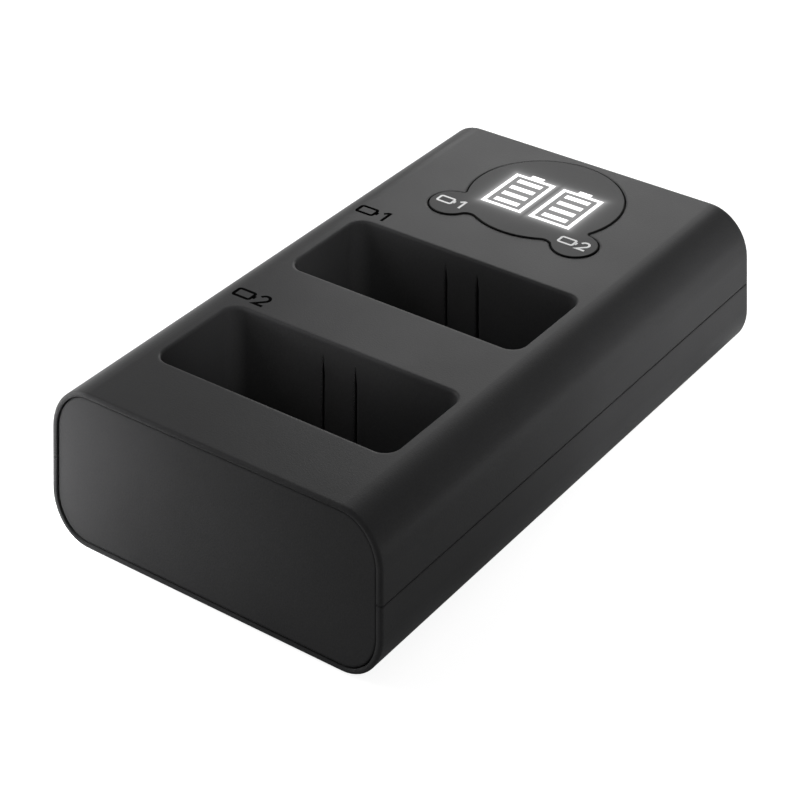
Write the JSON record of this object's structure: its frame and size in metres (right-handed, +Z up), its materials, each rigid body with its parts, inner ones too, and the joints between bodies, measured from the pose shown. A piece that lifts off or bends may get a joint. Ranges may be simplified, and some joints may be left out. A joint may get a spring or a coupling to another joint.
{
  "type": "camera battery charger",
  "caption": "Flat matte black desk charger with a pair of open battery pockets in its top, a lit display window with battery signs, rubber feet and a rear USB-C inlet.",
  "frame": {"origin": "on the table under the middle of the case, at the height of the undersides of the feet", "axes": "+X across the case to the right, +Y along the case from the plain end plate to the display end, +Z up"},
  "size_m": [0.0512, 0.0878, 0.0198],
  "materials": {
    "case_plastic": "fine-grained matte black",
    "window_plastic": "smooth satin black",
    "sign_light": "white light guide, lit from behind",
    "foot_rubber": "soft black rubber",
    "screw_steel": "zinc plated",
    "contact_metal": "gold plated spring strip",
    "socket_steel": "bright folded steel",
    "socket_plastic": "black moulding",
    "board_laminate": "green solder mask",
    "chip_plastic": "black moulded package",
    "coil_ferrite": "grey ferrite",
    "capacitor_body": "tan ceramic",
    "diode_resin": "clear yellow resin",
    "light_box_white": "white moulding"
  },
  "bodies": {
    "root": {"top_cover": "case_plastic", "bottom_cover": "case_plastic", "front_end_plate": "case_plastic", "rear_end_plate": "case_plastic", "display_window": "window_plastic", "battery_sign_left": "sign_light", "battery_sign_right": "sign_light", "foot_front_left": "foot_rubber", "foot_front_right": "foot_rubber", "foot_rear_left": "foot_rubber", "foot_rear_right": "foot_rubber", "case_screws": "screw_steel", "display_screws": "screw_steel", "contact_front_1": "contact_metal", "contact_front_2": "contact_metal", "contact_front_3": "contact_metal", "contact_rear_1": "contact_metal", "contact_rear_2": "contact_metal", "contact_rear_3": "contact_metal", "link_pins": "contact_metal", "usb_socket_shell": "socket_steel", "usb_socket_tongue": "socket_plastic", "link_socket": "socket_plastic", "main_board": "board_laminate", "display_board": "board_laminate", "charging_chip_left": "chip_plastic", "charging_chip_right": "chip_plastic", "control_chip": "chip_plastic", "inductor_left": "coil_ferrite", "inductor_right": "coil_ferrite", "capacitor_left_1": "capacitor_body", "capacitor_left_2": "capacitor_body", "capacitor_right_1": "capacitor_body", "capacitor_right_2": "capacitor_body", "light_diode_left_1": "diode_resin", "light_diode_left_2": "diode_resin", "light_diode_left_3": "diode_resin", "light_diode_left_4": "diode_resin", "light_diode_right_1": "diode_resin", "light_diode_right_2": "diode_resin", "light_diode_right_3": "diode_resin", "light_diode_right_4": "diode_resin", "light_box": "light_box_white"}
  },
  "joints": []
}
